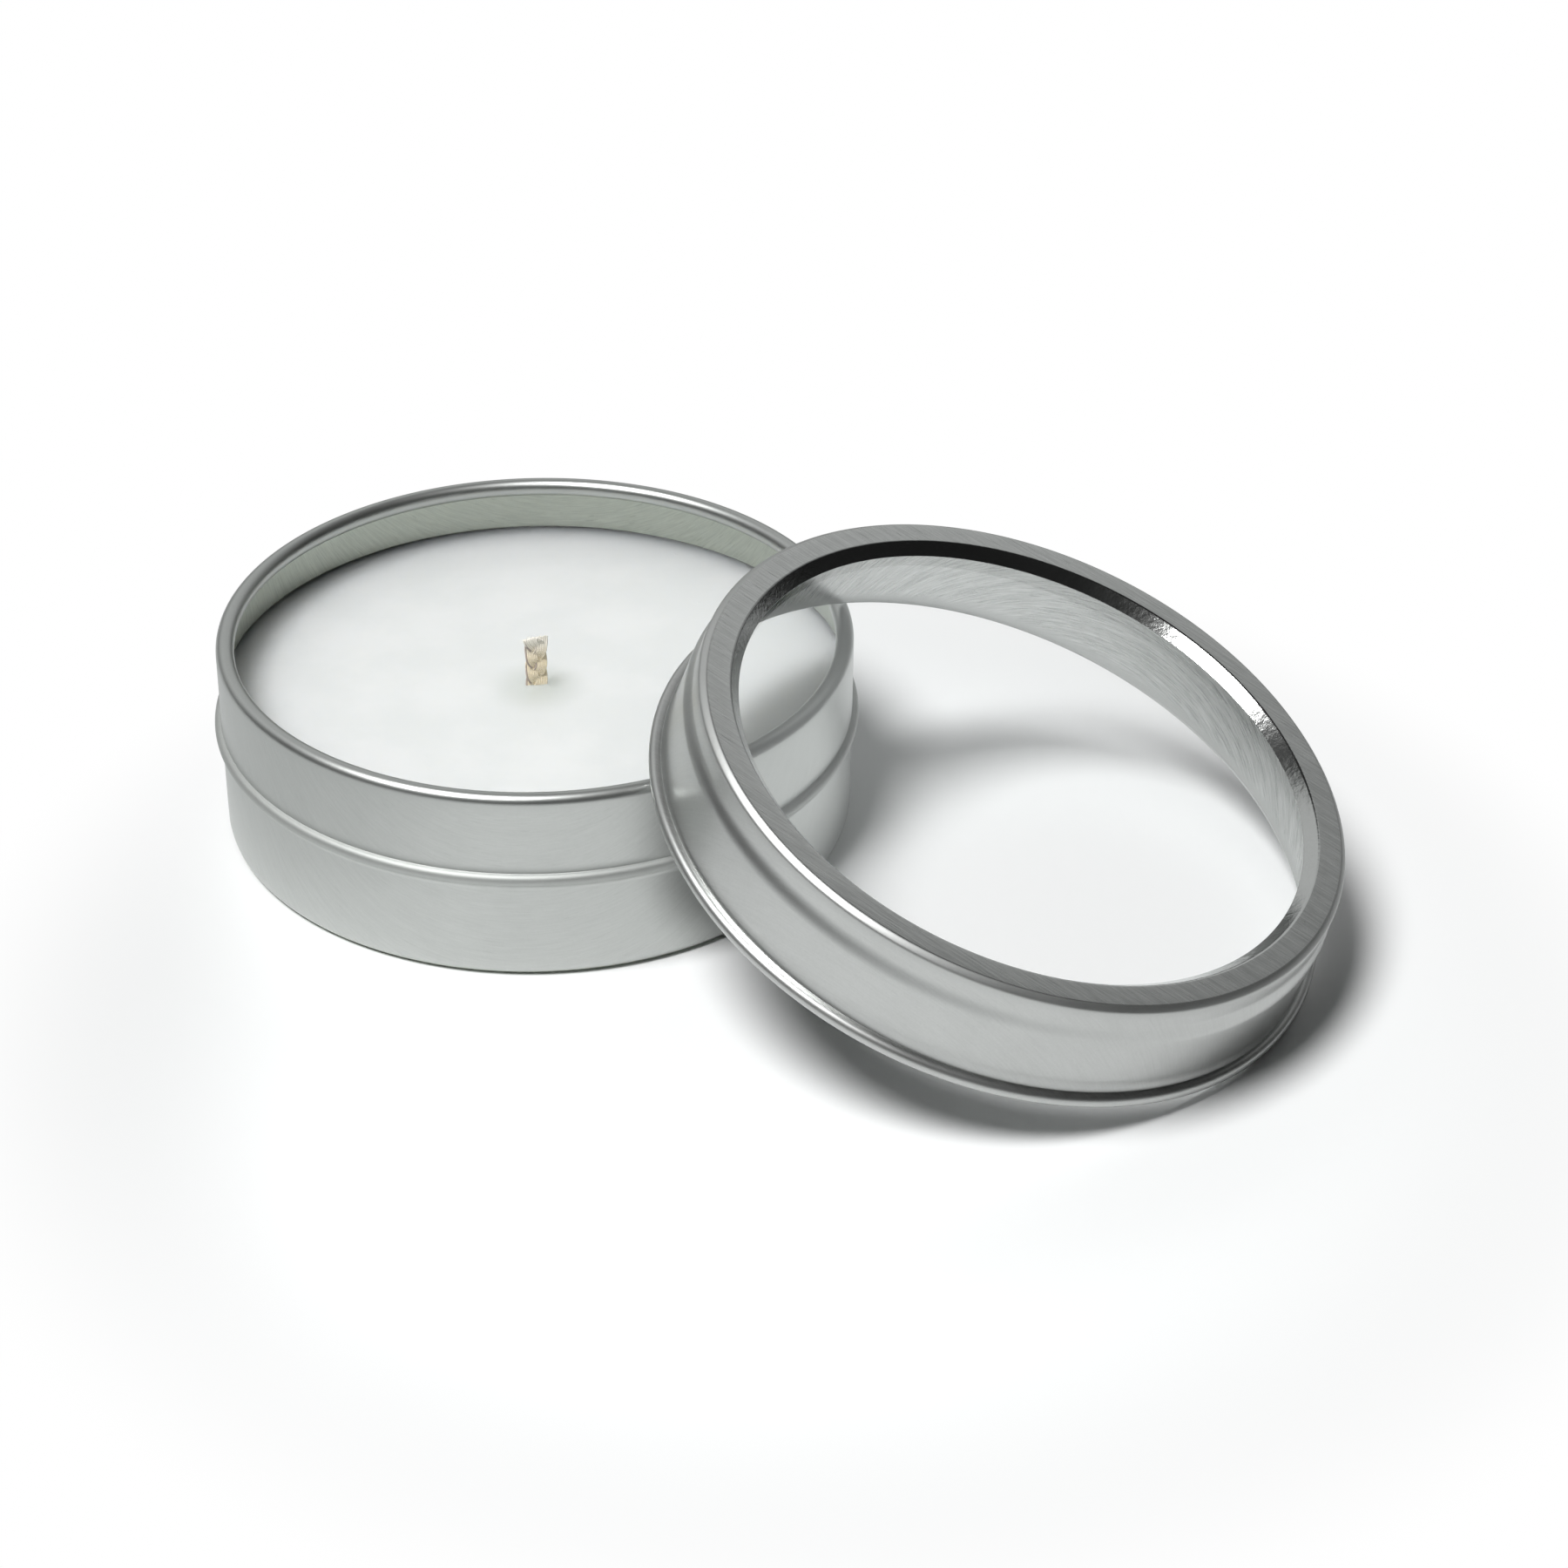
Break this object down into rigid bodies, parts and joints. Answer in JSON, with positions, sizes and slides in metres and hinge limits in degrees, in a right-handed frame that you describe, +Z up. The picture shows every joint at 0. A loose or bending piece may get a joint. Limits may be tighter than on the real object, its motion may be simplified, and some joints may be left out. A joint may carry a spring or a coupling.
{
  "type": "candle tin",
  "caption": "Shallow round tinplate container candle with a flat braided wick and a clear-window slip lid that leans on its rim and lifts away.",
  "frame": {"origin": "centre of the tin's flat base, on the surface it stands on", "axes": "+Z up along the tin's own axis; the lid lies on the +X side; -Y is the front"},
  "size_m": [0.1152, 0.0933, 0.0342],
  "materials": {
    "tinplate": "bright rolled tinplate with a fine grain",
    "lid_tinplate": "bright rolled tinplate with a fine grain",
    "wax": "smooth poured wax, soft sheen",
    "cotton_braid": "flat cotton braid, lightly waxed",
    "tab_steel": "plain tinned steel",
    "hot_glue": "set hot glue",
    "clear_sheet": "clear polyester sheet"
  },
  "bodies": {
    "tin": {"tin_body": "tinplate", "wax_fill": "wax", "wick": "cotton_braid", "wick_sustainer": "tab_steel", "wick_adhesive": "hot_glue"},
    "lid": {"lid_shell": "lid_tinplate", "window_pane": "clear_sheet"}
  },
  "joints": [
    {"name": "lid_lift", "type": "slide", "parent": "tin", "child": "lid", "axis": [0, 0, 1], "range_m": [0, 0.06]}
  ]
}
